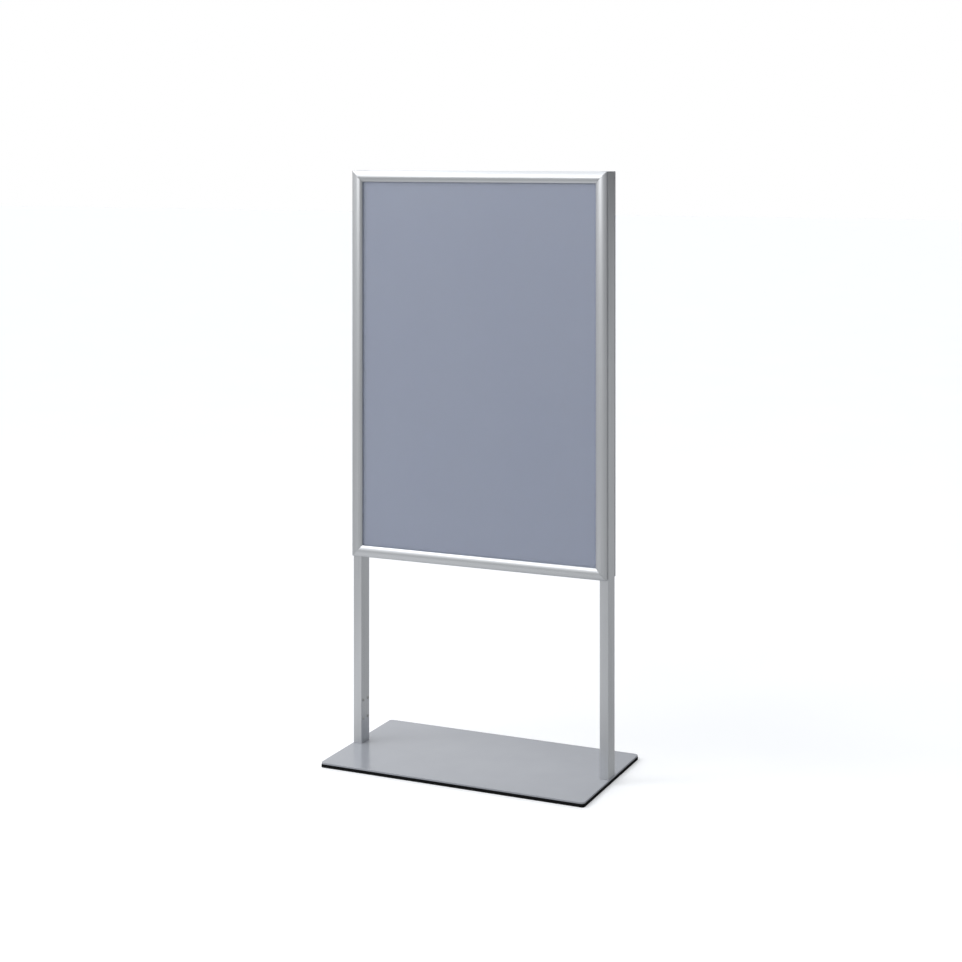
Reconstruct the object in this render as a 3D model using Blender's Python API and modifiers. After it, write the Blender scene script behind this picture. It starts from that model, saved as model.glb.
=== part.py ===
"""Free-standing sign stand with two snap frames back to back on two posts.

Units are metres and +Z is up. X runs across the stand and the front faces -Y.
The origin is the middle of the rubber mat's underside, on the floor.
Left is -X and right is +X, on both frames.

A frame rail is drawn as a section in (u, v): u runs inwards from the frame's
outer edge, and v runs outwards from the face of the posts.
"""
import math

import bmesh
import bpy
from mathutils import Matrix, Vector

# Clearances
GAP = 0.0003                  # between pieces that touch
MITRE_BACKOFF = 0.00025       # each mitred end stops this far short of the corner

# Fineness of the modelled surfaces
FACET_SAG = 0.00003           # furthest that an arc's chord lies from the true arc
SHARP_ANGLE = 35.0            # degrees between faces, above which an edge is shaded sharp
MERGE_DISTANCE = 0.000001
FLATNESS = 0.001              # radians between faces that count as one flat face
CHAMFER_SEGMENTS = 2
HOLE_SIDES = 16
SCREW_STEPS = 12

# Base
BASE_W = 0.730
BASE_D = 0.400
MAT_T = 0.008
PLATE_T = 0.005
PLATE_CORNER_R = 0.010
MAT_CORNER_R = 0.007
PLATE_EDGE_CHAMFER = 0.0008

# Whole stand and frames
TOTAL_H = 1.545
POST_SPAN = 0.726             # across the outsides of the two posts
FRAME_W = 0.7245
FRAME_H = 1.030

# Posts: rectangular aluminium tube
POST_W = 0.024
POST_D = 0.045
POST_WALL = 0.002
POST_CORNER_R = 0.0012
CAP_FLANGE_T = 0.0015
CAP_PLUG_H = 0.012

# Steel spigots welded to the plate, inside the posts
SPIGOT_H = 0.140
SPIGOT_WALL = 0.003
SPIGOT_FIT = 0.0003
SPIGOT_SCREW_HEIGHTS = {"lower": 0.065, "upper": 0.114}
SPIGOT_SCREW_Y = {"front": -0.0125, "back": 0.0125}

# Snap-frame section
FACE = 0.0303                 # visible width of a rail
WEB_V = (GAP, 0.0018)         # back web, between these distances from the post
WEB_REACH = 0.0285            # how far the web runs in behind the panel
WALL_U = 0.0040               # the outer wall is set back under the snap rail
WALL_T = 0.0012
HINGE_U = 0.0034
HINGE_V = 0.0054
SOCKET_R = 0.0013
SOCKET_OUTER_R = 0.0024
SOCKET_MOUTH = (95.0, 256.0)  # degrees, counted from u towards v; open to the outside
BEAD_R = 0.00095
NECK_EDGES = (110.0, 152.0)   # degrees, where the shell leaves the bead
NECK_CLEARANCE = 0.0002       # the neck starts this far outside the socket's bore
SHELL_T = 0.0012
FOOT_V = 0.0066               # the flank stands upright from here
FLANK_V = 0.0076              # and turns over into the arch from here
SHOULDER_R = 0.0032
CREST_U = 0.0165
CREST_V = 0.0135
NOSE_R = 0.0022
NOSE_V = 0.0078
NOSE_END = -70.0              # degrees, where the nose's rounding ends
LIP_TIP = (0.0258, 0.00495)   # the lip turns back under the nose, down to the sheet
LIP_TIP_T = 0.0007
KEEPER_U = (0.0097, 0.0106, 0.0118)   # hook tip, keeper wall's two faces
KEEPER_V = (0.0038, 0.0046)           # underside and top of the hook

# Sheets held in the frame
POCKET_U = 0.0121             # sheet edges stand this far in from the outer edge
PANEL_V = (0.0021, 0.0036)
SHEET_V = (0.0039, 0.0046)

# Corner keys and leaf springs, in the channel of the base rails
KEY_U = (0.0056, 0.0094)
KEY_V = (0.0021, 0.0035)
KEY_ARM = 0.062
SPRING_T = 0.0005
SPRING_LENGTH = 0.160
SPRING_PATH = ((0.0060, 0.00235), (0.0085, 0.00235), (0.0085, 0.0070), (0.0070, 0.0105))

# Screws
SCREW_HOLE_CLEARANCE = 0.0003
SCREW_HOLE_RUNOUT = 0.0015    # a hole goes this far beyond its screw's tip
HEAD_FLAT = 0.7               # share of the head's radius that is flat on top
HEAD_RIM = 0.55               # share of the head's height below its rounding
TIP_WIDTH = 0.5               # the tip's radius, in shank radii
TIP_TAPER = 0.6               # the tip's length, in shank radii
FRAME_SCREW_U = 0.0076
FRAME_SCREW_INSET = 0.180     # from the frame's top and bottom edges
FRAME_SCREW = {"head_r": 0.0020, "head_h": 0.0016, "shank_r": 0.0014, "length": 0.009}
SPIGOT_SCREW = {"head_r": 0.0035, "head_h": 0.0020, "shank_r": 0.0020, "length": 0.0055}

# Derived places
PLATE_TOP = MAT_T + PLATE_T
FRAME_TOP = TOTAL_H
FRAME_BOTTOM = FRAME_TOP - FRAME_H
POST_X = POST_SPAN / 2 - POST_W / 2
POST_FOOT = PLATE_TOP + GAP
POST_TOP = TOTAL_H - CAP_FLANGE_T - GAP
INNER_W = POST_W - 2 * POST_WALL
INNER_D = POST_D - 2 * POST_WALL

# Collections
PARTS = "sign_stand"
CUTTERS = "cutters"

# Signs of the directions: along Y for the faces and along X for the sides
FACES = {"front": -1, "back": 1}
SIDES = {"left": -1, "right": 1}

# Colour, roughness and metallic value
FINISHES = {
    "anodised_aluminium": ((0.60, 0.61, 0.62, 1), 0.38, 1.0),
    "powder_coated_steel": ((0.50, 0.52, 0.56, 1), 0.35, 0.0),
    "black_rubber": ((0.015, 0.015, 0.016, 1), 0.85, 0.0),
    "zinc_plated_steel": ((0.55, 0.55, 0.53, 1), 0.40, 1.0),
    "spring_steel": ((0.32, 0.33, 0.35, 1), 0.30, 1.0),
    "grey_plastic": ((0.35, 0.36, 0.37, 1), 0.50, 0.0),
    "blue_grey_board": ((0.28, 0.31, 0.38, 1), 0.55, 0.0),
    "clear_sheet": ((0.80, 0.84, 0.90, 1), 0.20, 0.0),
}


# ---------------------------------------------------------------- scene tools

def clear_scene():
    for obj in list(bpy.data.objects):
        bpy.data.objects.remove(obj, do_unlink=True)
    for collection in list(bpy.data.collections):
        bpy.data.collections.remove(collection)


def new_collection(name):
    collection = bpy.data.collections.new(name)
    bpy.context.scene.collection.children.link(collection)
    return collection


def material(name):
    existing = bpy.data.materials.get(name)
    if existing:
        return existing
    colour, roughness, metallic = FINISHES[name]
    made = bpy.data.materials.new(name)
    made.use_nodes = True
    shader = made.node_tree.nodes["Principled BSDF"]
    shader.inputs["Base Color"].default_value = colour
    shader.inputs["Roughness"].default_value = roughness
    shader.inputs["Metallic"].default_value = metallic
    made.diffuse_color = colour
    return made


def add_part(name, mesh, material_name, matrix=None):
    """Put a mesh in the scene as a named sub-part."""
    mesh.name = name
    mesh.materials.clear()
    mesh.materials.append(material(material_name))
    mesh.shade_smooth()
    mesh.set_sharp_from_angle(angle=math.radians(SHARP_ANGLE))
    part = bpy.data.objects.new(name, mesh)
    if matrix is not None:
        part.matrix_world = matrix
    bpy.data.collections[PARTS].objects.link(part)
    return part


def add_cutter(name, mesh):
    cutter = bpy.data.objects.new(name, mesh)
    cutter.hide_render = True
    cutter.display_type = "WIRE"
    bpy.data.collections[CUTTERS].objects.link(cutter)
    return cutter


def combine(part, other, operation="DIFFERENCE"):
    modifier = part.modifiers.new(other.name, "BOOLEAN")
    modifier.operation = operation
    modifier.object = other


# ------------------------------------------------------------ mesh primitives

def on_circle(centre, radius, degrees):
    angle = math.radians(degrees)
    return (centre[0] + radius * math.cos(angle), centre[1] + radius * math.sin(angle))


def arc(centre, radius, start, end):
    """Points along a circle, from one angle to another, in degrees."""
    widest_step = math.degrees(2 * math.acos(1 - FACET_SAG / radius))
    steps = math.ceil(abs(end - start) / widest_step)
    return [on_circle(centre, radius, start + (end - start) * i / steps) for i in range(steps + 1)]


def rounded_rectangle(width, depth, radius):
    x = width / 2 - radius
    y = depth / 2 - radius
    corners = ((x, y, 0), (-x, y, 90), (-x, -y, 180), (x, -y, 270))
    points = []
    for cx, cy, start in corners:
        points += arc((cx, cy), radius, start, start + 90)
    return points


def rectangle(width, depth):
    x = width / 2
    y = depth / 2
    return [(x, y), (-x, y), (-x, -y), (x, -y)]


def thickened(path, thickness):
    """Outline of a strip of even thickness along an open path."""
    path = [Vector(point) for point in path]
    half = thickness / 2
    left = []
    right = []
    for i, point in enumerate(path):
        before = (point - path[i - 1]).normalized() if i > 0 else None
        after = (path[i + 1] - point).normalized() if i < len(path) - 1 else None
        before = before or after
        after = after or before
        along = (before + after).normalized()
        normal = Vector((-along.y, along.x))
        reach = half / normal.dot(Vector((-after.y, after.x)))
        left.append(tuple(point + normal * reach))
        right.append(tuple(point - normal * reach))
    return left + right[::-1]


def prism(outlines, length):
    """A filled 2D curve, extruded both ways along Z, as a closed mesh.

    The first outline is the outside and any others are holes.
    """
    curve = bpy.data.curves.new("outline", "CURVE")
    curve.dimensions = "2D"
    curve.fill_mode = "BOTH"
    curve.extrude = length / 2
    for outline in outlines:
        spline = curve.splines.new("POLY")
        spline.points.add(len(outline) - 1)
        for point, (x, y) in zip(spline.points, outline):
            point.co = (x, y, 0, 1)
        spline.use_cyclic_u = True
    guide = bpy.data.objects.new("outline", curve)
    bpy.context.scene.collection.objects.link(guide)
    bpy.context.view_layer.update()
    evaluated = guide.evaluated_get(bpy.context.evaluated_depsgraph_get())
    mesh = bpy.data.meshes.new_from_object(evaluated)
    bpy.data.objects.remove(guide, do_unlink=True)
    bpy.data.curves.remove(curve)
    solid = bmesh.new()
    solid.from_mesh(mesh)
    bmesh.ops.remove_doubles(solid, verts=solid.verts, dist=MERGE_DISTANCE)
    solid.to_mesh(mesh)
    solid.free()
    return mesh


def mitred(mesh, length, reach):
    """Slope both ends of a rail at 45 degrees, by how far inwards each vertex reaches."""
    for vertex in mesh.vertices:
        end = length / 2 - reach(vertex.co.x, vertex.co.y) - MITRE_BACKOFF
        vertex.co.z = math.copysign(end, vertex.co.z)
    return mesh


def fixed_reach(u, _):
    """A base rail does not turn, so a point reaches just as far in as it lies."""
    return u


def turning_reach(u, v):
    """Furthest inwards of the hinge that a point comes, as its rail turns from shut to open."""
    if u > 0 > v:
        return math.hypot(u, v)
    return max(u, -v)


def box(low, high):
    size = Vector(high) - Vector(low)
    centre = (Vector(high) + Vector(low)) / 2
    solid = bmesh.new()
    stretch = Matrix.Diagonal((*size, 1))
    bmesh.ops.create_cube(solid, size=1, matrix=Matrix.Translation(centre) @ stretch)
    mesh = bpy.data.meshes.new("box")
    solid.to_mesh(mesh)
    solid.free()
    return mesh


def cylinders(placings, radius, length):
    """One mesh of equal cylinders, each centred on its own matrix along Z."""
    solid = bmesh.new()
    for placing in placings:
        bmesh.ops.create_cone(solid, cap_ends=True, segments=HOLE_SIDES, radius1=radius,
                              radius2=radius, depth=length, matrix=placing)
    mesh = bpy.data.meshes.new("cylinders")
    solid.to_mesh(mesh)
    solid.free()
    return mesh


def aligned(place, direction):
    """Matrix that stands a Z-up shape at a place, pointing along a direction."""
    turn = Vector(direction).to_track_quat("Z", "Y").to_matrix().to_4x4()
    return Matrix.Translation(place) @ turn


# ------------------------------------------------- sections of the frame rails

def base_rail_section():
    """Back web, outer wall that carries the hinge socket, and the keeper wall."""
    hinge = (HINGE_U, HINGE_V)
    mouth_in, mouth_out = SOCKET_MOUTH
    web_back, web_front = WEB_V
    hook_tip, keeper_out, keeper_in = KEEPER_U
    hook_under, hook_top = KEEPER_V
    wall_in = WALL_U + WALL_T
    outer_foot = 360 - math.degrees(math.acos((WALL_U - HINGE_U) / SOCKET_OUTER_R))
    inner_foot = -math.degrees(math.acos((wall_in - HINGE_U) / SOCKET_OUTER_R))
    outline = [(WALL_U, web_back)]
    outline += arc(hinge, SOCKET_OUTER_R, outer_foot, mouth_out)
    outline += arc(hinge, SOCKET_R, mouth_out, mouth_in + 360)
    outline += arc(hinge, SOCKET_OUTER_R, mouth_in, inner_foot)
    outline += [(wall_in, web_front), (keeper_out, web_front), (keeper_out, hook_under)]
    outline += [(hook_tip, hook_under), (hook_tip, hook_top), (keeper_in, hook_top)]
    outline += [(keeper_in, web_front), (WEB_REACH, web_front), (WEB_REACH, web_back)]
    return outline


def arc_from_crest(centre, radius):
    """Arc that leaves the crest level and runs on into a smaller round.

    Returns the arc's centre, its radius, and the angle where the two meet.
    """
    across = centre[0] - CREST_U
    drop = CREST_V - centre[1]
    arc_r = (across ** 2 + drop ** 2 - radius ** 2) / (2 * (drop - radius))
    arc_centre = (CREST_U, CREST_V - arc_r)
    return arc_centre, arc_r, math.degrees(math.atan2(centre[1] - arc_centre[1], across))


def snap_rail_section():
    """Hinge bead, upright flank, arched shell and rounded nose, with the hinge at (0, 0)."""
    hinge = (HINGE_U, HINGE_V)
    shoulder = (SHOULDER_R, FLANK_V)
    nose = (FACE - NOSE_R, NOSE_V)
    neck_in, neck_out = NECK_EDGES
    neck_r = SOCKET_R + NECK_CLEARANCE
    lip_u, lip_v = LIP_TIP
    rise_centre, rise_r, rise_from = arc_from_crest(shoulder, SHOULDER_R)
    fall_centre, fall_r, fall_to = arc_from_crest(nose, NOSE_R)
    # Outer face: up the flank, over the crest, round the nose and back under it.
    outline = [(0, FOOT_V)]
    outline += arc(shoulder, SHOULDER_R, 180, rise_from)
    outline += arc(rise_centre, rise_r, rise_from, 90)[1:]
    outline += arc(fall_centre, fall_r, 90, fall_to)[1:]
    outline += arc(nose, NOSE_R, fall_to, NOSE_END)[1:]
    outline += [LIP_TIP, (lip_u, lip_v + LIP_TIP_T)]
    # Inner face: back inside the nose, under the crest and down to the bead.
    outline += arc(nose, NOSE_R - SHELL_T, NOSE_END, fall_to)
    outline += arc(fall_centre, fall_r - SHELL_T, fall_to, 90)[1:]
    outline += arc(rise_centre, rise_r - SHELL_T, 90, rise_from)[1:]
    outline += arc(shoulder, SHOULDER_R - SHELL_T, rise_from, 180)[1:]
    outline += [on_circle(hinge, neck_r, neck_in)]
    outline += arc(hinge, BEAD_R, neck_in, neck_out - 360)
    outline += [on_circle(hinge, neck_r, neck_out)]
    return [(u - HINGE_U, v - HINGE_V) for u, v in outline]


# ---------------------------------------------------------------- base parts

def make_base_plate():
    mesh = prism([rounded_rectangle(BASE_W, BASE_D, PLATE_CORNER_R)], PLATE_T - GAP)
    solid = bmesh.new()
    solid.from_mesh(mesh)
    bmesh.ops.dissolve_limit(solid, angle_limit=FLATNESS, verts=solid.verts, edges=solid.edges)
    rim = [edge for edge in solid.edges if min(vertex.co.z for vertex in edge.verts) > 0]
    bmesh.ops.bevel(solid, geom=rim, offset=PLATE_EDGE_CHAMFER, segments=CHAMFER_SEGMENTS,
                    affect="EDGES")
    solid.to_mesh(mesh)
    solid.free()
    place = Matrix.Translation((0, 0, PLATE_TOP - (PLATE_T - GAP) / 2))
    add_part("base_plate", mesh, "powder_coated_steel", place)


def make_base_mat():
    mesh = prism([rounded_rectangle(BASE_W, BASE_D, MAT_CORNER_R)], MAT_T)
    add_part("base_mat", mesh, "black_rubber", Matrix.Translation((0, 0, MAT_T / 2)))


def make_post(side, holes):
    length = POST_TOP - POST_FOOT
    outside = rounded_rectangle(POST_W, POST_D, POST_CORNER_R)
    mesh = prism([outside, rectangle(INNER_W, INNER_D)], length)
    place = Matrix.Translation((SIDES[side] * POST_X, 0, POST_FOOT + length / 2))
    post = add_part("post_" + side, mesh, "anodised_aluminium", place)
    for cutter in holes:
        combine(post, cutter)


def make_spigot(side, holes):
    width = INNER_W - 2 * SPIGOT_FIT
    depth = INNER_D - 2 * SPIGOT_FIT
    hollow = rectangle(width - 2 * SPIGOT_WALL, depth - 2 * SPIGOT_WALL)
    mesh = prism([rectangle(width, depth), hollow], SPIGOT_H)
    place = Matrix.Translation((SIDES[side] * POST_X, 0, POST_FOOT + SPIGOT_H / 2))
    spigot = add_part("post_spigot_" + side, mesh, "zinc_plated_steel", place)
    combine(spigot, holes)


def make_post_cap(side):
    """Flange flush with the tube, and a plug pushed down inside it."""
    mesh = prism([rounded_rectangle(POST_W, POST_D, POST_CORNER_R)], CAP_FLANGE_T)
    plug_low = (-INNER_W / 2 + SPIGOT_FIT, -INNER_D / 2 + SPIGOT_FIT, -CAP_PLUG_H)
    plug_high = (INNER_W / 2 - SPIGOT_FIT, INNER_D / 2 - SPIGOT_FIT, 0)
    place = Matrix.Translation((SIDES[side] * POST_X, 0, TOTAL_H - CAP_FLANGE_T / 2))
    cap = add_part("post_cap_" + side, mesh, "grey_plastic", place)
    plug = add_cutter("cap_plug_" + side, box(plug_low, plug_high))
    plug.matrix_world = place
    combine(cap, plug, "UNION")


# --------------------------------------------------------------------- screws

def screw_part(name, sizes, place, direction):
    """Pan-head screw, turned about its own Z, with its head's seat at the place."""
    head_r = sizes["head_r"]
    head_h = sizes["head_h"]
    shank_r = sizes["shank_r"]
    length = sizes["length"]
    profile = [(0, head_h), (head_r * HEAD_FLAT, head_h), (head_r, head_h * HEAD_RIM), (head_r, 0),
               (shank_r, 0), (shank_r, shank_r * TIP_TAPER - length), (shank_r * TIP_WIDTH, -length),
               (0, -length)]
    mesh = bpy.data.meshes.new(name)
    edges = [(i, i + 1) for i in range(len(profile) - 1)]
    mesh.from_pydata([(x, 0, z) for x, z in profile], edges, [])
    part = add_part(name, mesh, "zinc_plated_steel", aligned(place, direction))
    turn = part.modifiers.new("turn", "SCREW")
    turn.axis = "Z"
    turn.angle = math.tau
    turn.steps = SCREW_STEPS
    turn.render_steps = SCREW_STEPS
    turn.use_merge_vertices = True
    turn.merge_threshold = MERGE_DISTANCE
    turn.use_smooth_shade = True


def spigot_screw_places():
    """Screws through each post's inner face: name, place of the head's seat, direction."""
    places = []
    for side, sign in SIDES.items():
        face_x = sign * (POST_X - POST_W / 2)
        for level, height in SPIGOT_SCREW_HEIGHTS.items():
            for depth_name, y in SPIGOT_SCREW_Y.items():
                name = "_".join(("spigot_screw", side, level, depth_name))
                place = Vector((face_x - sign * GAP, y, PLATE_TOP + height))
                places.append((name, place, Vector((-sign, 0, 0))))
    return places


def frame_screw_places():
    """Screws through each side rail's web into the post behind it."""
    levels = {"upper": FRAME_TOP - FRAME_SCREW_INSET, "lower": FRAME_BOTTOM + FRAME_SCREW_INSET}
    places = []
    for face, outward in FACES.items():
        for side, sign in SIDES.items():
            for level, z in levels.items():
                name = "_".join((face, "frame_screw", side, level))
                x = sign * (FRAME_W / 2 - FRAME_SCREW_U)
                y = outward * (POST_D / 2 + WEB_V[1] + GAP)
                places.append((name, Vector((x, y, z)), Vector((0, outward, 0))))
    return places


def screw_holes(name, places, sizes):
    """Cutter for a set of screws, running as far in front of each seat as behind it."""
    radius = sizes["shank_r"] + SCREW_HOLE_CLEARANCE
    length = 2 * (sizes["length"] + SCREW_HOLE_RUNOUT)
    placings = [aligned(place, direction) for _, place, direction in places]
    return add_cutter(name, cylinders(placings, radius, length))


# --------------------------------------------------------------------- frames

def rail_axes(face, edge):
    """Directions u, v and s of a rail, and the middle of its outer edge."""
    v = Vector((0, FACES[face], 0))
    inwards = {"top": (0, 0, -1), "bottom": (0, 0, 1), "left": (1, 0, 0), "right": (-1, 0, 0)}
    u = Vector(inwards[edge])
    middle = Vector((0, 0, (FRAME_TOP + FRAME_BOTTOM) / 2))
    reach = FRAME_H / 2 if edge in ("top", "bottom") else FRAME_W / 2
    origin = middle - u * reach + v * (POST_D / 2)
    return u, v, u.cross(v), origin


def rail_matrix(face, edge, u_offset=0.0, v_offset=0.0):
    u, v, s, origin = rail_axes(face, edge)
    turn = Matrix((u, v, s)).transposed().to_4x4()
    return Matrix.Translation(origin + u * u_offset + v * v_offset) @ turn


def rail_length(edge):
    return FRAME_W if edge in ("top", "bottom") else FRAME_H


def make_rails(face, edge, frame_holes):
    length = rail_length(edge)
    base = mitred(prism([base_rail_section()], length), length, fixed_reach)
    rail = add_part("_".join((face, "base_rail", edge)), base, "anodised_aluminium",
                    rail_matrix(face, edge))
    if edge in SIDES:
        combine(rail, frame_holes)
    between_hinges = length - 2 * HINGE_U
    shell = mitred(prism([snap_rail_section()], length), between_hinges, turning_reach)
    add_part("_".join((face, "snap_rail", edge)), shell, "anodised_aluminium",
             rail_matrix(face, edge, HINGE_U, HINGE_V))


def make_spring(face, edge):
    mesh = prism([thickened(SPRING_PATH, SPRING_T)], SPRING_LENGTH)
    add_part("_".join((face, "spring_strip", edge)), mesh, "spring_steel", rail_matrix(face, edge))


def make_corner_key(face, level, side):
    """Flat steel L in the channels of the two rails that meet at a corner."""
    near, far = KEY_U
    outline = [(near, near), (KEY_ARM, near), (KEY_ARM, far), (far, far), (far, KEY_ARM),
               (near, KEY_ARM)]
    x_sign = -SIDES[side]
    z_sign = -1 if level == "top" else 1
    outline = [(x * x_sign, z * z_sign) for x, z in outline]
    mesh = prism([outline], KEY_V[1] - KEY_V[0])
    corner = Vector((SIDES[side] * FRAME_W / 2, 0, FRAME_TOP if level == "top" else FRAME_BOTTOM))
    corner.y = FACES[face] * (POST_D / 2 + sum(KEY_V) / 2)
    upright = Matrix.Translation(corner) @ Matrix.Rotation(math.radians(90), 4, "X")
    add_part("_".join((face, "corner_key", level, side)), mesh, "zinc_plated_steel", upright)


def make_sheet(face, name, v_range, material_name):
    near, far = (FACES[face] * (POST_D / 2 + v) for v in v_range)
    x = FRAME_W / 2 - POCKET_U
    low = (-x, min(near, far), FRAME_BOTTOM + POCKET_U)
    high = (x, max(near, far), FRAME_TOP - POCKET_U)
    add_part(face + name, box(low, high), material_name)


def make_frame(face, frame_holes):
    for edge in ("top", "bottom", "left", "right"):
        make_rails(face, edge, frame_holes)
        make_spring(face, edge)
    for level in ("top", "bottom"):
        for side in SIDES:
            make_corner_key(face, level, side)
    make_sheet(face, "_backing_panel", PANEL_V, "blue_grey_board")
    make_sheet(face, "_cover_sheet", SHEET_V, "clear_sheet")


def build():
    clear_scene()
    new_collection(PARTS)
    new_collection(CUTTERS)
    spigot_screws = spigot_screw_places()
    frame_screws = frame_screw_places()
    spigot_holes = screw_holes("spigot_screw_holes", spigot_screws, SPIGOT_SCREW)
    frame_holes = screw_holes("frame_screw_holes", frame_screws, FRAME_SCREW)
    make_base_mat()
    make_base_plate()
    for side in SIDES:
        make_spigot(side, spigot_holes)
        make_post(side, (spigot_holes, frame_holes))
        make_post_cap(side)
    for name, seat, direction in spigot_screws:
        screw_part(name, SPIGOT_SCREW, seat, direction)
    for name, seat, direction in frame_screws:
        screw_part(name, FRAME_SCREW, seat, direction)
    for face in FACES:
        make_frame(face, frame_holes)


build()
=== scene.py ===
"""Looks of the sign stand: finer meshes, materials, floor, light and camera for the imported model.

Everything is in metres in the row frame, +Z up, with the front facing -Y. A frame rail's
section is drawn in (u, v): u runs inwards from the frame's outer edge, and v runs outwards
from the face of the posts.
"""
import math

import bmesh
import bpy
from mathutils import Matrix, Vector


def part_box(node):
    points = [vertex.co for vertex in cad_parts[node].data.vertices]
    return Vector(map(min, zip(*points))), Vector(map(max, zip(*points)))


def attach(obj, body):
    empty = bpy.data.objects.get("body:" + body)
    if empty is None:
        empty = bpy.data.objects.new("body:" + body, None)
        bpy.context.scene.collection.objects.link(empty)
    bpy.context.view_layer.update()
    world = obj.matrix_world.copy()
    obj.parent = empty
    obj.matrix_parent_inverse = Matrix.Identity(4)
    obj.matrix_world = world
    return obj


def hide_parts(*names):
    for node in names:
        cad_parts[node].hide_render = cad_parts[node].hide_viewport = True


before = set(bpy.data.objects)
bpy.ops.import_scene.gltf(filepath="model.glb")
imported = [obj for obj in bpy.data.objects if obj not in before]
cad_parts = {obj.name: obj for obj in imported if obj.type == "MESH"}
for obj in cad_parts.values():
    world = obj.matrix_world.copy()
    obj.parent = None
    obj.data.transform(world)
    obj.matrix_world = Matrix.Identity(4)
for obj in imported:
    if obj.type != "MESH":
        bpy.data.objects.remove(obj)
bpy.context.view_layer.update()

FACES = {"front": -1, "back": 1}
SIDES = {"left": -1, "right": 1}
EDGES = ("top", "bottom", "left", "right")

# Fineness of the meshes
FACET_SAG = 0.000004          # furthest that an arc's chord lies from the true arc
SHARP_ANGLE = math.radians(32)
FINE_BEVEL = 0.00015          # broken edges of sawn and punched metal
BEVEL_ANGLE = math.radians(50)
SAME_POINT = 0.000002         # vertices closer than this are joined
SAME_HEIGHT = 0.0000001
FLAT_FACE_WEIGHT = 80         # how far large faces decide the shading at their edges

# Frame rails, in (u, v)
MITRE_BACKOFF = 0.00025
FACE = 0.0303
WEB_V = (0.0003, 0.0018)
WEB_REACH = 0.0285
WALL_U = (0.0040, 0.0052)
HINGE = (0.0034, 0.0054)
SOCKET_R = 0.0013
SOCKET_OUTER_R = 0.0024
SOCKET_MOUTH = (95.0, 256.0)
BEAD_R = 0.00095
NECK_EDGES = (110.0, 152.0)
NECK_R = 0.0015
SHELL_T = 0.0012
FOOT_V = 0.0066
FLANK_V = 0.0076
SHOULDER_R = 0.0032
CREST = (0.0165, 0.0135)
NOSE_R = 0.0022
NOSE_V = 0.0078
NOSE_END = -70.0
LIP_TIP = (0.0258, 0.00495)
LIP_TIP_T = 0.0007
KEEPER_U = (0.0097, 0.0106, 0.0118)
KEEPER_V = (0.0038, 0.0046)

# Base
PLATE_CORNER_R = 0.010
PLATE_EDGE_R = 0.0009
MAT_CORNER_R = 0.007
MAT_EDGE_R = 0.0008

# Posts and their caps
POST_CORNER_R = 0.0012
POST_WALL = 0.002
CAP_EDGE_R = 0.0006
CAP_GAP = 0.0003

# Screws
SPIGOT_SCREW = {"head_r": 0.0035, "head_h": 0.0020, "shank_r": 0.0020, "length": 0.0055}
FRAME_SCREW = {"head_r": 0.0020, "head_h": 0.0016, "shank_r": 0.0014, "length": 0.009}
SCREW_SIDES = 48
HEX_APOTHEM = 0.00125
CROSS_ARM = (0.0012, 0.00032)     # length and half width of a cross recess's arm
RECESS_DEPTH = 0.6                # share of the head's height
CROWN_HEIGHT = 0.45               # share of the head's height
CROWN_REACH = 0.38                # share of the head's radius
CROWN_STEPS = 6
TIP_R = 0.5                       # share of the shank's radius
TIP_LENGTH = 0.6                  # share of the shank's radius
SMALLEST_SINE = 0.000001

# Materials: colours and roughness from low to high over a noise, noise frequencies per metre, and
# each bump's depth in metres and strength
ALUMINIUM_COLOURS = ((0.635, 0.645, 0.655), (0.675, 0.685, 0.70))
ALUMINIUM_ROUGHNESS = (0.27, 0.34)
ALUMINIUM_LINES = (1.5, 1400)     # along and across the drawing lines
ALUMINIUM_BLOOM = (3.0, 25)
ALUMINIUM_MICRO = 9000
ALUMINIUM_LINES_BUMP = (0.00001, 0.5)
ALUMINIUM_MICRO_BUMP = (0.000006, 0.5)
COAT_COLOURS = ((0.354, 0.366, 0.397), (0.372, 0.384, 0.415))
COAT_ROUGHNESS = (0.15, 0.21)
COAT_PEEL = 420
COAT_GRAIN = 3500
COAT_CLOUD = 9
COAT_PEEL_BUMP = (0.00005, 0.35)
COAT_GRAIN_BUMP = (0.00001, 0.3)
RUBBER_COLOURS = ((0.004, 0.004, 0.0045), (0.008, 0.008, 0.0085))
RUBBER_ROUGHNESS = (0.7, 0.9)
RUBBER_CRUMB = 1800
RUBBER_DUST = 60
RUBBER_BUMP = (0.00012, 0.8)
ZINC_COLOURS = ((0.50, 0.50, 0.48), (0.62, 0.62, 0.60))
ZINC_ROUGHNESS = (0.3, 0.45)
SPRING_COLOURS = ((0.30, 0.31, 0.33), (0.38, 0.39, 0.41))
SPRING_ROUGHNESS = (0.25, 0.35)
STEEL_SPANGLE = 700
STEEL_SCUFF = 90
STEEL_BUMP = (0.00001, 0.4)
PLASTIC_COLOURS = ((0.30, 0.31, 0.32), (0.34, 0.35, 0.36))
PLASTIC_ROUGHNESS = (0.45, 0.58)
PLASTIC_TEXTURE = 2600
PLASTIC_FLOW = 40
PLASTIC_BUMP = (0.00003, 0.5)
BOARD_COLOURS = ((0.245, 0.278, 0.382), (0.251, 0.284, 0.388))
BOARD_ROUGHNESS = (0.5, 0.6)
BOARD_MOTTLE = 14
SHEET_COLOURS = ((0.62, 0.66, 0.76), (0.64, 0.68, 0.77))
SHEET_ROUGHNESS = (0.28, 0.30)
SHEET_HAZE = 5
SHEET_ALPHA = 0.20

# Camera, standing level at eye height
CAMERA_PLACE = (1.98758, -4.41627, 1.593)
CAMERA_AIM = (-0.41027, 0.91197, 0.0)
CAMERA_LENS = 69.484
CAMERA_SENSOR = 36
CAMERA_SHIFT_Y = -0.3416

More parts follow.
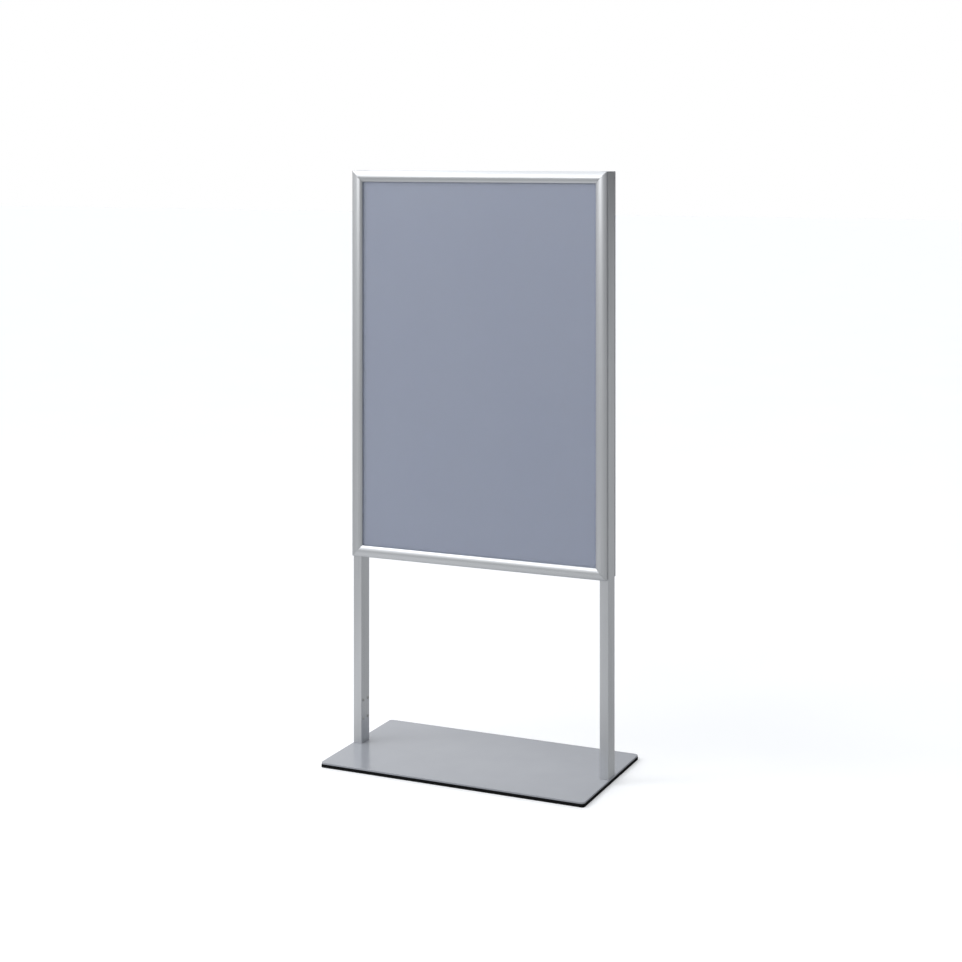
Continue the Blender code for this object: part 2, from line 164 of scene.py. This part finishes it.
# Studio: brightness of the walls from left to right, in front and behind, and of the ceiling.
# A ceiling's two numbers are sines of elevations: where the walls start to turn into it, and where
# they have become it. SIDE_WALLS is how far in front and behind the two kinds of wall blend.
FRONT_WALLS = ((0.0, 0.78), (0.22, 0.65), (0.30, 0.82), (0.36, 1.08),
               (0.43, 0.90), (0.58, 0.22), (0.80, 0.13), (1.0, 0.09))
BACK_WALLS = ((0.0, 0.12), (0.24, 0.98), (0.29, 0.88), (0.34, 0.45),
              (0.40, 0.30), (0.60, 0.15), (1.0, 0.12))
SIDE_WALLS = 0.4
WHITE = (1, 1, 1, 1)
CEILING = (1.22, 1.25, 1.29)
CEILING_LEVELS = ((0.0, 1.0), (0.48, 1.0), (0.72, 0.50), (1.0, 0.30))
FRONT_CEILING = (-0.12, 0.60)
BACK_CEILING = (0.22, 0.60)

# The floor as reflections see it: a painted pool of light in front of the stand, fading with
# distance
PAINTED_LIGHT_POOL_PLACE = (-0.5, -0.8, 0.0)
PAINTED_LIGHT_POOL_LEVELS = ((0.0, 0.73), (0.13, 0.65), (0.22, 0.48), (0.40, 0.47), (1.0, 0.51))
PAINTED_LIGHT_POOL_REACH = 4.0
FLOOR_LIFT = 0.17             # brightness added where the camera sees the floor
FLOOR_SHADES = ((0.90, 0.90, 0.90), (0.92, 0.92, 0.92))
FLOOR_CLOUD = 2               # noise frequency per metre
FLOOR_HALF_SIZE = 40

# Lamps: place, target, width, height and watts
KEY_LIGHT = ((-2.6, -1.6, 3.0), (0, 0, 0.5), 1.5, 1.5, 26)
FILL_LIGHT = ((-0.65, -2.0, 1.9), (0.1, 0, 1.3), 1.3, 0.8, 4.5)

# Sockets of a colour Mix node, whose inputs share their names with those of its other kinds
MIX_FIRST = 6
MIX_SECOND = 7
MIX_RESULT = 2

# A noise's usual spread
NOISE_LOW = 0.3
NOISE_HIGH = 0.7


# --------------------------------------------------------------- node helpers

def add_node(tree, kind, inputs=None, **settings):
    """New shader node; an input's value may be a number, a vector or a socket to link."""
    made = tree.nodes.new("ShaderNode" + kind)
    for name, value in settings.items():
        setattr(made, name, value)
    for name, value in (inputs or {}).items():
        if isinstance(value, bpy.types.NodeSocket):
            tree.links.new(value, made.inputs[name])
        else:
            made.inputs[name].default_value = value
    return made


def noise(tree, scale, detail=2.0):
    """Noise in the object's own space, with its frequency per metre along X, Y and Z."""
    place = add_node(tree, "TexCoord").outputs["Object"]
    stretched = add_node(tree, "Mapping", {"Vector": place, "Scale": scale}).outputs["Vector"]
    inputs = {"Vector": stretched, "Scale": 1.0, "Detail": detail, "Roughness": 0.5}
    return add_node(tree, "TexNoise", inputs).outputs["Fac"]


def between(tree, factor, low, high):
    """A noise's usual spread, mapped to the range from low to high."""
    inputs = {"Value": factor, "From Min": NOISE_LOW, "From Max": NOISE_HIGH,
              "To Min": low, "To Max": high}
    return add_node(tree, "MapRange", inputs).outputs["Result"]


def blend_colours(tree, factor, low, high):
    """Colours from low to high, over a noise's usual spread."""
    ramp = add_node(tree, "ValToRGB", {"Fac": factor})
    first, second = ramp.color_ramp.elements
    first.position = NOISE_LOW
    first.color = (*low, 1)
    second.position = NOISE_HIGH
    second.color = (*high, 1)
    return ramp.outputs["Color"]


def mix_colours(tree, factor, first, second):
    """Two colours' sockets, mixed by a factor's socket; for the floor and the studio only."""
    mixed = add_node(tree, "Mix", {"Factor": factor}, data_type="RGBA")
    tree.links.new(first, mixed.inputs[MIX_FIRST])
    tree.links.new(second, mixed.inputs[MIX_SECOND])
    return mixed.outputs[MIX_RESULT]


def bumped(tree, height, distance, strength, normal=None):
    inputs = {"Height": height, "Distance": distance, "Strength": strength}
    if normal:
        inputs["Normal"] = normal
    return add_node(tree, "Bump", inputs).outputs["Normal"]


def new_material(name):
    made = bpy.data.materials.new(name)
    made.use_nodes = True
    return made, made.node_tree, made.node_tree.nodes["Principled BSDF"]


def set_inputs(tree, shader, values):
    for name, value in values.items():
        if isinstance(value, bpy.types.NodeSocket):
            tree.links.new(value, shader.inputs[name])
        else:
            shader.inputs[name].default_value = value


def evenly(frequency):
    """The same frequency along X, Y and Z."""
    return (frequency, frequency, frequency)


def along(axis, lengthwise, crosswise):
    """Frequencies for a grain that runs along one axis."""
    return tuple(lengthwise if name == axis else crosswise for name in "XYZ")


# ------------------------------------------------------------------ materials

def anodised_aluminium(axis):
    """Satin anodised extrusion, with drawing lines along its length."""
    made, tree, shader = new_material("anodised_aluminium_" + axis.lower())
    lines = noise(tree, along(axis, *ALUMINIUM_LINES), 3.0)
    bloom = noise(tree, along(axis, *ALUMINIUM_BLOOM))
    micro = noise(tree, evenly(ALUMINIUM_MICRO), 1.0)
    drawn = bumped(tree, lines, *ALUMINIUM_LINES_BUMP)
    set_inputs(tree, shader, {
        "Base Color": blend_colours(tree, bloom, *ALUMINIUM_COLOURS),
        "Metallic": 1.0,
        "Roughness": between(tree, lines, *ALUMINIUM_ROUGHNESS),
        "Normal": bumped(tree, micro, *ALUMINIUM_MICRO_BUMP, drawn),
    })
    return made


def powder_coat():
    """Light grey, semi-gloss powder coat with a fine orange peel."""
    made, tree, shader = new_material("powder_coat")
    peel = noise(tree, evenly(COAT_PEEL), 1.5)
    grain = noise(tree, evenly(COAT_GRAIN), 1.0)
    cloud = noise(tree, evenly(COAT_CLOUD))
    peeled = bumped(tree, peel, *COAT_PEEL_BUMP)
    set_inputs(tree, shader, {
        "Base Color": blend_colours(tree, cloud, *COAT_COLOURS),
        "Roughness": between(tree, grain, *COAT_ROUGHNESS),
        "Normal": bumped(tree, grain, *COAT_GRAIN_BUMP, peeled),
        "Specular IOR Level": 0.5,
    })
    return made


def rubber():
    made, tree, shader = new_material("rubber_mat")
    crumb = noise(tree, evenly(RUBBER_CRUMB), 3.0)
    dust = noise(tree, evenly(RUBBER_DUST), 3.0)
    set_inputs(tree, shader, {
        "Base Color": blend_colours(tree, dust, *RUBBER_COLOURS),
        "Roughness": between(tree, crumb, *RUBBER_ROUGHNESS),
        "Specular IOR Level": 0.1,
        "Normal": bumped(tree, crumb, *RUBBER_BUMP),
    })
    return made


def plated_steel(name, colours, roughness):
    """Zinc plate or bare spring steel: a metal with small spangles."""
    made, tree, shader = new_material(name)
    spangle = noise(tree, evenly(STEEL_SPANGLE), 3.0)
    scuff = noise(tree, evenly(STEEL_SCUFF), 4.0)
    set_inputs(tree, shader, {
        "Base Color": blend_colours(tree, scuff, *colours),
        "Metallic": 1.0,
        "Roughness": between(tree, spangle, *roughness),
        "Normal": bumped(tree, spangle, *STEEL_BUMP),
    })
    return made


def moulded_plastic():
    """Grey end cap with a fine moulded texture."""
    made, tree, shader = new_material("end_cap_plastic")
    texture = noise(tree, evenly(PLASTIC_TEXTURE))
    flow = noise(tree, evenly(PLASTIC_FLOW))
    set_inputs(tree, shader, {
        "Base Color": blend_colours(tree, flow, *PLASTIC_COLOURS),
        "Roughness": between(tree, texture, *PLASTIC_ROUGHNESS),
        "Normal": bumped(tree, texture, *PLASTIC_BUMP),
    })
    return made


def backing_board():
    """Blue-grey coated board with a faint mottle."""
    made, tree, shader = new_material("backing_board")
    mottle = noise(tree, evenly(BOARD_MOTTLE), 3.0)
    set_inputs(tree, shader, {
        "Base Color": blend_colours(tree, mottle, *BOARD_COLOURS),
        "Roughness": between(tree, mottle, *BOARD_ROUGHNESS),
    })
    return made


def clear_sheet():
    """Thin anti-glare plastic: nearly clear, with a slightly matt face."""
    made, tree, shader = new_material("clear_sheet")
    haze = noise(tree, evenly(SHEET_HAZE))
    set_inputs(tree, shader, {
        "Base Color": blend_colours(tree, haze, *SHEET_COLOURS),
        "Roughness": between(tree, haze, *SHEET_ROUGHNESS),
        "Alpha": SHEET_ALPHA,
        "Specular IOR Level": 1.0,
    })
    return made


# ----------------------------------------------------------------- mesh tools

def on_circle(centre, radius, degrees):
    """Point at an angle on a circle in the plane."""
    angle = math.radians(degrees)
    return (centre[0] + radius * math.cos(angle), centre[1] + radius * math.sin(angle))


def arc(centre, radius, start, end):
    """Points along a circle, from one angle to another, in degrees."""
    widest_step = math.degrees(2 * math.acos(1 - FACET_SAG / radius))
    steps = math.ceil(abs(end - start) / widest_step)
    return [on_circle(centre, radius, start + (end - start) * i / steps) for i in range(steps + 1)]


def rounded_rectangle(width, depth, radius):
    """Outline about the origin, anticlockwise."""
    x = width / 2 - radius
    y = depth / 2 - radius
    corners = ((x, y, 0), (-x, y, 90), (-x, -y, 180), (x, -y, 270))
    points = []
    for cx, cy, start in corners:
        points += arc((cx, cy), radius, start, start + 90)
    return points


def add_piece(name, solid, material, body="stand", node=None):
    """Put a bmesh in the scene as a piece that rides on a body and stands for a CAD node."""
    bmesh.ops.recalc_face_normals(solid, faces=solid.faces)
    mesh = bpy.data.meshes.new(name)
    solid.to_mesh(mesh)
    solid.free()
    mesh.materials.append(material)
    mesh.shade_smooth()
    mesh.set_sharp_from_angle(angle=SHARP_ANGLE)
    piece = bpy.data.objects.new(name, mesh)
    bpy.context.scene.collection.objects.link(piece)
    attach(piece, body)
    if node:
        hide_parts(node)
    return piece


def round_edges(piece, width, segments=2):
    """Rounded edges, with the flat faces' shading kept flat."""
    bevel = piece.modifiers.new("edges", "BEVEL")
    bevel.width = width
    bevel.segments = segments
    bevel.limit_method = "ANGLE"
    bevel.angle_limit = BEVEL_ANGLE
    bevel.miter_outer = "MITER_ARC"
    weld = piece.modifiers.new("joined", "WELD")
    weld.merge_threshold = SAME_POINT
    weighted = piece.modifiers.new("shading", "WEIGHTED_NORMAL")
    weighted.keep_sharp = True
    weighted.weight = FLAT_FACE_WEIGHT


def lofted(rings, closed_ends=True):
    """Solid through equal-sized rings of points, first to last."""
    solid = bmesh.new()
    made = [[solid.verts.new(point) for point in ring] for ring in rings]
    for first, second in zip(made, made[1:]):
        for i, vertex in enumerate(first):
            j = (i + 1) % len(first)
            solid.faces.new((vertex, first[j], second[j], second[i]))
    if closed_ends:
        solid.faces.new(made[0][::-1])
        solid.faces.new(made[-1])
    return solid


def tube(outside, inside, low, high):
    """Upright tube between two heights, from an outer and an inner outline in the plane."""
    solid = lofted([[(x, y, low) for x, y in outside], [(x, y, high) for x, y in outside]], False)
    inner = [[solid.verts.new((x, y, z)) for x, y in inside] for z in (low, high)]
    for i, vertex in enumerate(inner[0]):
        j = (i + 1) % len(inside)
        solid.faces.new((vertex, inner[1][i], inner[1][j], inner[0][j]))
    for z in (low, high):
        rim = [edge for edge in solid.edges
               if all(abs(vertex.co.z - z) < SAME_HEIGHT for vertex in edge.verts)]
        bmesh.ops.triangle_fill(solid, use_beauty=True, edges=rim)
    return solid


# ---------------------------------------------------------------- frame rails

def base_rail_section():
    """Back web, outer wall that carries the hinge socket, and the keeper wall."""
    mouth_in, mouth_out = SOCKET_MOUTH
    web_back, web_front = WEB_V
    wall_out, wall_in = WALL_U
    hook_tip, keeper_out, keeper_in = KEEPER_U
    hook_under, hook_top = KEEPER_V
    outer_foot = 360 - math.degrees(math.acos((wall_out - HINGE[0]) / SOCKET_OUTER_R))
    inner_foot = -math.degrees(math.acos((wall_in - HINGE[0]) / SOCKET_OUTER_R))
    outline = [(wall_out, web_back)]
    outline += arc(HINGE, SOCKET_OUTER_R, outer_foot, mouth_out)
    outline += arc(HINGE, SOCKET_R, mouth_out, mouth_in + 360)
    outline += arc(HINGE, SOCKET_OUTER_R, mouth_in, inner_foot)
    outline += [(wall_in, web_front), (keeper_out, web_front), (keeper_out, hook_under)]
    outline += [(hook_tip, hook_under), (hook_tip, hook_top), (keeper_in, hook_top)]
    outline += [(keeper_in, web_front), (WEB_REACH, web_front), (WEB_REACH, web_back)]
    return outline


def arc_from_crest(centre, radius):
    """Arc that leaves the crest level and runs on into a smaller round: centre, radius, meeting."""
    crest_u, crest_v = CREST
    across = centre[0] - crest_u
    drop = crest_v - centre[1]
    arc_r = (across ** 2 + drop ** 2 - radius ** 2) / (2 * (drop - radius))
    arc_centre = (crest_u, crest_v - arc_r)
    return arc_centre, arc_r, math.degrees(math.atan2(centre[1] - arc_centre[1], across))


def snap_rail_section():
    """Hinge bead, upright flank, arched shell and rounded nose that turns back under as a lip."""
    shoulder = (SHOULDER_R, FLANK_V)
    nose = (FACE - NOSE_R, NOSE_V)
    neck_in, neck_out = NECK_EDGES
    lip_u, lip_v = LIP_TIP
    rise_centre, rise_r, rise_from = arc_from_crest(shoulder, SHOULDER_R)
    fall_centre, fall_r, fall_to = arc_from_crest(nose, NOSE_R)
    outline = [(0, FOOT_V)]
    outline += arc(shoulder, SHOULDER_R, 180, rise_from)
    outline += arc(rise_centre, rise_r, rise_from, 90)[1:]
    outline += arc(fall_centre, fall_r, 90, fall_to)[1:]
    outline += arc(nose, NOSE_R, fall_to, NOSE_END)[1:]
    outline += [LIP_TIP, (lip_u, lip_v + LIP_TIP_T)]
    outline += arc(nose, NOSE_R - SHELL_T, NOSE_END, fall_to)
    outline += arc(fall_centre, fall_r - SHELL_T, fall_to, 90)[1:]
    outline += arc(rise_centre, rise_r - SHELL_T, 90, rise_from)[1:]
    outline += arc(shoulder, SHOULDER_R - SHELL_T, rise_from, 180)[1:]
    outline += [on_circle(HINGE, NECK_R, neck_in)]
    outline += arc(HINGE, BEAD_R, neck_in, neck_out - 360)
    outline += [on_circle(HINGE, NECK_R, neck_out)]
    return outline


def fixed_reach(u, _):
    """Furthest inwards that a point of a base rail comes, which never moves."""
    return u


def turning_reach(u, v):
    """Furthest inwards that a point of a snap rail comes, as the rail turns from shut to open."""
    across = u - HINGE[0]
    up = v - HINGE[1]
    if across > 0 > up:
        return HINGE[0] + math.hypot(across, up)
    return HINGE[0] + max(across, -up)


def rail_axes(face, edge):
    """Origin in the middle of a rail's outer edge, its directions u, v and s, and its length."""
    snap_rail = face + "_snap_rail_"
    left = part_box(snap_rail + "left")[0].x
    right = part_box(snap_rail + "right")[1].x
    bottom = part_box(snap_rail + "bottom")[0].z
    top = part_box(snap_rail + "top")[1].z
    post_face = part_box("post_left")[1].y
    inwards = {"top": (0, 0, -1), "bottom": (0, 0, 1), "left": (1, 0, 0), "right": (-1, 0, 0)}
    u = Vector(inwards[edge])
    v = Vector((0, FACES[face], 0))
    level = edge in ("top", "bottom")
    reach, length = (top - bottom) / 2, right - left
    if not level:
        reach, length = length / 2, top - bottom
    middle = Vector(((left + right) / 2, 0, (top + bottom) / 2))
    return middle - u * reach + v * post_face, u, v, u.cross(v), length


def mitred_rail(face, edge, section, reach):
    """Rail with both ends sloped at 45 degrees, by how far inwards each point reaches."""
    origin, u_axis, v_axis, s_axis, length = rail_axes(face, edge)
    rings = []
    for end in (-1, 1):
        ring = []
        for u, v in section:
            s = end * (length / 2 - reach(u, v) - MITRE_BACKOFF)
            ring.append(origin + u_axis * u + v_axis * v + s_axis * s)
        rings.append(ring)
    return lofted(rings)


def make_rails(face, edge, materials):
    metal = materials["metal_x" if edge in ("top", "bottom") else "metal_z"]
    base_name = "_".join((face, "base_rail", edge))
    solid = mitred_rail(face, edge, base_rail_section(), fixed_reach)
    base = add_piece("fine_" + base_name, solid, metal, node=base_name)
    round_edges(base, FINE_BEVEL)
    snap_name = "_".join((face, "snap_rail", edge))
    solid = mitred_rail(face, edge, snap_rail_section(), turning_reach)
    snap = add_piece("fine_" + snap_name, solid, metal, body=snap_name + "_body",
                     node=snap_name)
    round_edges(snap, FINE_BEVEL)


# ----------------------------------------------------------- base and uprights

def make_base(materials):
    low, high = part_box("base_plate")
    size = high - low
    outline = rounded_rectangle(size.x, size.y, PLATE_CORNER_R)
    solid = lofted([[(x, y, z) for x, y in outline] for z in (low.z, high.z)])
    plate = add_piece("coated_base_plate", solid, materials["coat"],
                      node="base_plate")
    round_edges(plate, PLATE_EDGE_R, 4)
    low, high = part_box("base_mat")
    outline = rounded_rectangle(size.x, size.y, MAT_CORNER_R)
    solid = lofted([[(x, y, z) for x, y in outline] for z in (low.z, high.z)])
    mat = add_piece("rubber_base_mat", solid, materials["rubber"],
                    node="base_mat")
    round_edges(mat, MAT_EDGE_R, 3)


def make_post(side, materials):
    node = "post_" + side
    low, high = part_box(node)
    centre = (low + high) / 2
    size = high - low
    outside = [(centre.x + x, y) for x, y in rounded_rectangle(size.x, size.y, POST_CORNER_R)]
    inner_x = size.x / 2 - POST_WALL
    inner_y = size.y / 2 - POST_WALL
    signs = ((1, 1), (-1, 1), (-1, -1), (1, -1))
    inside = [(centre.x + inner_x * a, inner_y * b) for a, b in signs]
    add_piece("fine_" + node, tube(outside, inside, low.z, high.z), materials["metal_z"],
              node=node)


def make_post_cap(side, materials):
    node = "post_cap_" + side
    low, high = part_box(node)
    centre = (low + high) / 2
    flange_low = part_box("post_" + side)[1].z + CAP_GAP
    outline = rounded_rectangle(high.x - low.x, high.y - low.y, POST_CORNER_R)
    solid = lofted([[(centre.x + x, y, z) for x, y in outline] for z in (flange_low, high.z)])
    cap = add_piece("moulded_" + node, solid, materials["plastic"],
                    node=node)
    round_edges(cap, CAP_EDGE_R, 3)


# --------------------------------------------------------------------- screws

def hexagon(angle):
    """Distance from the middle of a hexagon to its side, at an angle."""
    sector = math.radians(60)
    return HEX_APOTHEM / math.cos((angle % sector) - sector / 2)


def cross(angle):
    """Distance from the middle of a cross recess to its wall, at an angle."""
    quarter = math.radians(90)
    off_arm = abs((angle + quarter / 2) % quarter - quarter / 2)
    arm, half_width = CROSS_ARM
    return min(arm / math.cos(off_arm), half_width / max(math.sin(off_arm), SMALLEST_SINE))


def screw_rings(sizes, recess):
    """Radius and height of each ring, from the tip up and over the head into its recess."""
    head_r = sizes["head_r"]
    head_h = sizes["head_h"]
    shank_r = sizes["shank_r"]
    length = sizes["length"]
    rings = [(shank_r * TIP_R, -length), (shank_r, -length + shank_r * TIP_LENGTH),
             (shank_r, 0), (head_r, 0)]
    crown = CROWN_HEIGHT * head_h
    for i in range(CROWN_STEPS + 1):
        angle = math.radians(90 * i / CROWN_STEPS)
        radius = head_r * (1 - CROWN_REACH + CROWN_REACH * math.cos(angle))
        rings.append((radius, head_h - crown + crown * math.sin(angle)))
    bottom = head_h * (1 - RECESS_DEPTH)
    rings += [(recess, head_h), (recess, bottom)]
    return rings


def make_screw(node, sizes, recess, direction, material):
    """Screw whose head faces along a direction; recess gives the driver hole's radius by angle."""
    low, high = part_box(node)
    centre = (low + high) / 2
    half_length = sum((high - centre)[i] * abs(direction[i]) for i in range(3))
    seat = centre + direction * (half_length - sizes["head_h"])
    turn = direction.to_track_quat("Z", "Y").to_matrix()
    rings = []
    for radius, z in screw_rings(sizes, recess):
        ring = []
        for i in range(SCREW_SIDES):
            angle = math.tau * i / SCREW_SIDES
            r = radius(angle) if callable(radius) else radius
            ring.append(seat + turn @ Vector((r * math.cos(angle), r * math.sin(angle), z)))
        rings.append(ring)
    add_piece("fine_" + node, lofted(rings), material, node=node)


def make_screws(materials):
    for node in sorted(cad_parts):
        if node.startswith("spigot_screw"):
            side = "left" if "_left_" in node else "right"
            make_screw(node, SPIGOT_SCREW, hexagon, Vector((-SIDES[side], 0, 0)), materials["zinc"])
        elif "_frame_screw_" in node:
            outward = FACES[node.split("_")[0]]
            make_screw(node, FRAME_SCREW, cross, Vector((0, outward, 0)), materials["zinc"])


# ----------------------------------------------------------------- CAD pieces

def finish_cad_nodes(materials):
    """Materials for the nodes whose modelled shape is the final one."""
    for name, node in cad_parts.items():
        if "spring_strip" in name:
            node.material_slots[0].material = materials["spring"]
        elif "corner_key" in name or "post_spigot" in name:
            node.material_slots[0].material = materials["zinc"]
        elif name.endswith("backing_panel"):
            node.material_slots[0].material = materials["board"]
        elif name.endswith("cover_sheet"):
            node.material_slots[0].material = materials["clear"]


# ---------------------------------------------------------- stage and lighting

def make_floor():
    """Pale floor: nearly white where the camera sees it, and a painted pool of light to
    reflections.
    """
    made, tree, shader = new_material("pale_floor")
    seen = add_node(tree, "LightPath").outputs["Is Camera Ray"]
    cloud = noise(tree, evenly(FLOOR_CLOUD))
    place = add_node(tree, "TexCoord").outputs["Object"]
    offset = add_node(tree, "VectorMath", {0: place, 1: PAINTED_LIGHT_POOL_PLACE}, operation="DISTANCE")
    reach = {"Value": offset.outputs["Value"], "From Max": PAINTED_LIGHT_POOL_REACH}
    distance = add_node(tree, "MapRange", reach).outputs["Result"]
    # painted light: the floor's colour, as reflections see it, is brightest at a point in front of
    # the stand and fades with distance
    painted_light_pool = grey_ramp(tree, distance, PAINTED_LIGHT_POOL_LEVELS)
    lift = add_node(tree, "Math", {0: seen, 1: FLOOR_LIFT}, operation="MULTIPLY")
    set_inputs(tree, shader, {
        "Base Color": mix_colours(tree, seen, painted_light_pool, blend_colours(tree, cloud, *FLOOR_SHADES)),
        "Roughness": 0.9,
        "Specular IOR Level": 0.1,
        "Emission Color": WHITE,
        "Emission Strength": lift.outputs["Value"],
    })
    solid = bmesh.new()
    bmesh.ops.create_grid(solid, x_segments=1, y_segments=1, size=FLOOR_HALF_SIZE)
    mesh = bpy.data.meshes.new("floor")
    solid.to_mesh(mesh)
    solid.free()
    mesh.materials.append(made)
    floor = bpy.data.objects.new("floor", mesh)
    bpy.context.scene.collection.objects.link(floor)


def grey_ramp(tree, factor, stops):
    """Grey level along a factor from 0 to 1, through the stops' positions and levels."""
    ramp = add_node(tree, "ValToRGB", {"Fac": factor})
    elements = ramp.color_ramp.elements
    for _ in stops[2:]:
        elements.new(0.5)
    for element, (position, level) in zip(elements, stops):
        element.position = position
        element.color = (level, level, level, 1)
    return ramp.outputs["Color"]


def spread(tree, value, low, high, kind="LINEAR"):
    """A value's range from low to high, mapped to 0 to 1."""
    inputs = {"Value": value, "From Min": low, "From Max": high}
    return add_node(tree, "MapRange", inputs, interpolation_type=kind).outputs["Result"]


def make_world():
    """Studio: a bright ceiling over walls that darken to the right; plain white where seen."""
    world = bpy.data.worlds.new("studio")
    bpy.context.scene.world = world
    world.use_nodes = True
    tree = world.node_tree
    direction = add_node(tree, "TexCoord").outputs["Generated"]
    parts = add_node(tree, "SeparateXYZ", {"Vector": direction}).outputs
    across = spread(tree, parts["X"], -1, 1)
    behind = spread(tree, parts["Y"], -SIDE_WALLS, SIDE_WALLS, "SMOOTHSTEP")
    front_walls = grey_ramp(tree, across, FRONT_WALLS)
    walls = mix_colours(tree, behind, front_walls, grey_ramp(tree, across, BACK_WALLS))
    front_rise, back_rise = (spread(tree, parts["Z"], *ceiling, "SMOOTHSTEP")
                             for ceiling in (FRONT_CEILING, BACK_CEILING))
    rise = add_node(tree, "Mix", {"Factor": behind, "A": front_rise, "B": back_rise})
    levels = grey_ramp(tree, across, CEILING_LEVELS)
    ceiling = add_node(tree, "VectorMath", {0: levels, 1: CEILING}, operation="MULTIPLY")
    colour = mix_colours(tree, rise.outputs["Result"], walls, ceiling.outputs["Vector"])
    surroundings = add_node(tree, "Background", {"Color": colour, "Strength": 1.0})
    backdrop = add_node(tree, "Background", {"Color": WHITE, "Strength": 1.0})
    seen = add_node(tree, "LightPath").outputs["Is Camera Ray"]
    pick = add_node(tree, "MixShader", {"Fac": seen})
    tree.links.new(surroundings.outputs["Background"], pick.inputs[1])
    tree.links.new(backdrop.outputs["Background"], pick.inputs[2])
    tree.links.new(pick.outputs["Shader"], tree.nodes["World Output"].inputs["Surface"])


def area_light(name, place, target, width, height, watts):
    data = bpy.data.lights.new(name, "AREA")
    data.shape = "RECTANGLE"
    data.size = width
    data.size_y = height
    data.energy = watts
    light = bpy.data.objects.new(name, data)
    light.location = place
    light.rotation_euler = (Vector(target) - Vector(place)).to_track_quat("-Z", "Y").to_euler()
    bpy.context.scene.collection.objects.link(light)


def make_camera():
    data = bpy.data.cameras.new("camera")
    data.lens = CAMERA_LENS
    data.sensor_width = CAMERA_SENSOR
    data.shift_y = CAMERA_SHIFT_Y
    camera = bpy.data.objects.new("camera", data)
    camera.location = CAMERA_PLACE
    camera.rotation_euler = Vector(CAMERA_AIM).to_track_quat("-Z", "Y").to_euler()
    bpy.context.scene.collection.objects.link(camera)
    bpy.context.scene.camera = camera


def build():
    materials = {
        "metal_x": anodised_aluminium("X"),
        "metal_z": anodised_aluminium("Z"),
        "coat": powder_coat(),
        "rubber": rubber(),
        "zinc": plated_steel("zinc_plated_steel", ZINC_COLOURS, ZINC_ROUGHNESS),
        "spring": plated_steel("spring_steel", SPRING_COLOURS, SPRING_ROUGHNESS),
        "plastic": moulded_plastic(),
        "board": backing_board(),
        "clear": clear_sheet(),
    }
    make_base(materials)
    for side in SIDES:
        make_post(side, materials)
        make_post_cap(side, materials)
    make_screws(materials)
    for face in FACES:
        for edge in EDGES:
            make_rails(face, edge, materials)
    finish_cad_nodes(materials)
    make_floor()
    make_world()
    area_light("key", *KEY_LIGHT)
    area_light("fill", *FILL_LIGHT)
    make_camera()
    bpy.context.scene.view_settings.view_transform = "Standard"


build()
